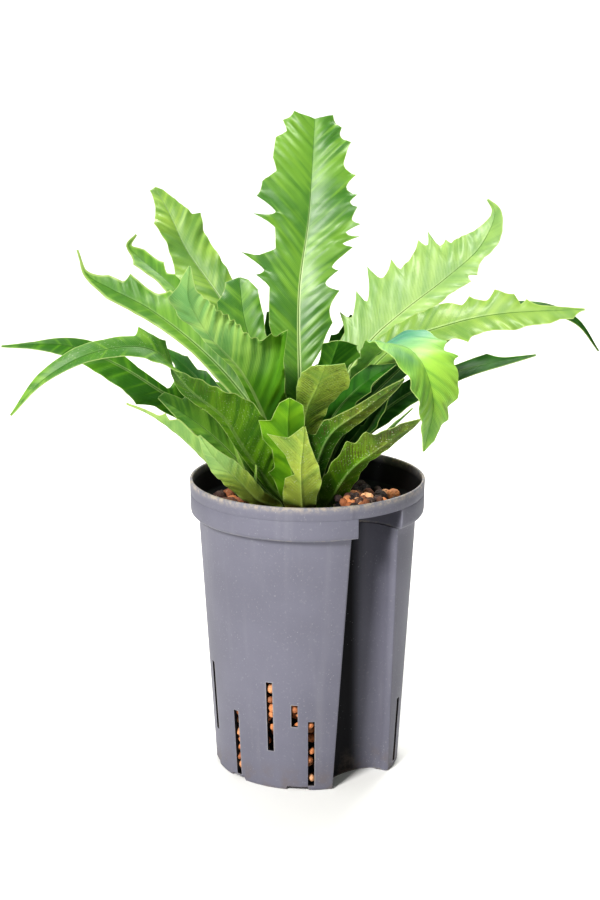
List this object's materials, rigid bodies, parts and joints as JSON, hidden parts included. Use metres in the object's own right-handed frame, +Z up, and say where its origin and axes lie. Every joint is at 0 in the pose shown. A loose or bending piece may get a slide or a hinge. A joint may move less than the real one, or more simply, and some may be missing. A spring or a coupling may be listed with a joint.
{
  "type": "potted bird's nest fern",
  "caption": "Bird's nest fern whose long strap fronds have torn, hooked edges, rooted in clay granules in a tall slotted culture pot with a gauge channel.",
  "frame": {"origin": "middle of the pot's underside, on the surface that it stands on", "axes": "+Z up, -Y to the front as pictured, +X to the right"},
  "size_m": [0.372, 0.2478, 0.4139],
  "materials": {
    "pot": "satin moulded plastic, dusty",
    "clay": "matt porous fired clay",
    "crown": "rough scaly rhizome",
    "frond_light": "glossy leathery leaf, pale yellow-green",
    "frond_mid": "glossy leathery leaf, mid green",
    "frond_dark": "glossy leathery leaf, deep green",
    "frond_olive": "satin leaf underside, olive green"
  },
  "bodies": {
    "root": {"pot": "pot", "clay_pebbles": "clay", "crown": "crown", "frond_tall_centre": "frond_mid", "frond_left_back": "frond_mid", "frond_left_small_curled": "frond_dark", "frond_left_curly_tip": "frond_mid", "frond_left_broad_ruffled": "frond_light", "frond_small_upright_back": "frond_mid", "frond_far_left": "frond_dark", "frond_arching_left": "frond_mid", "frond_left_green_blade": "frond_mid", "frond_low_left": "frond_light", "frond_front_left_olive": "frond_olive", "frond_front_forked": "frond_olive", "frond_front_rounded": "frond_mid", "frond_front_foreshortened": "frond_olive", "frond_centre_olive": "frond_olive", "frond_right_upper_pale": "frond_light", "frond_right_pale": "frond_light", "frond_right_dark_droop": "frond_dark", "frond_right_drooping_front": "frond_mid", "frond_right_low_dark": "frond_dark", "frond_right_lower_front": "frond_olive", "frond_left_dark_behind": "frond_dark", "frond_left_dark_low": "frond_dark", "frond_young_left": "frond_light", "frond_young_small": "frond_light", "frond_right_speckled": "frond_olive", "frond_right_dark_upper": "frond_dark", "frond_right_pale_rib": "frond_dark", "frond_right_small_light": "frond_light", "frond_back_dark_right": "frond_dark", "frond_back_dark_left": "frond_dark", "frond_back_left": "frond_mid", "frond_back_middle_left": "frond_mid", "frond_back_middle_right": "frond_mid", "frond_back_right": "frond_mid"}
  },
  "joints": []
}
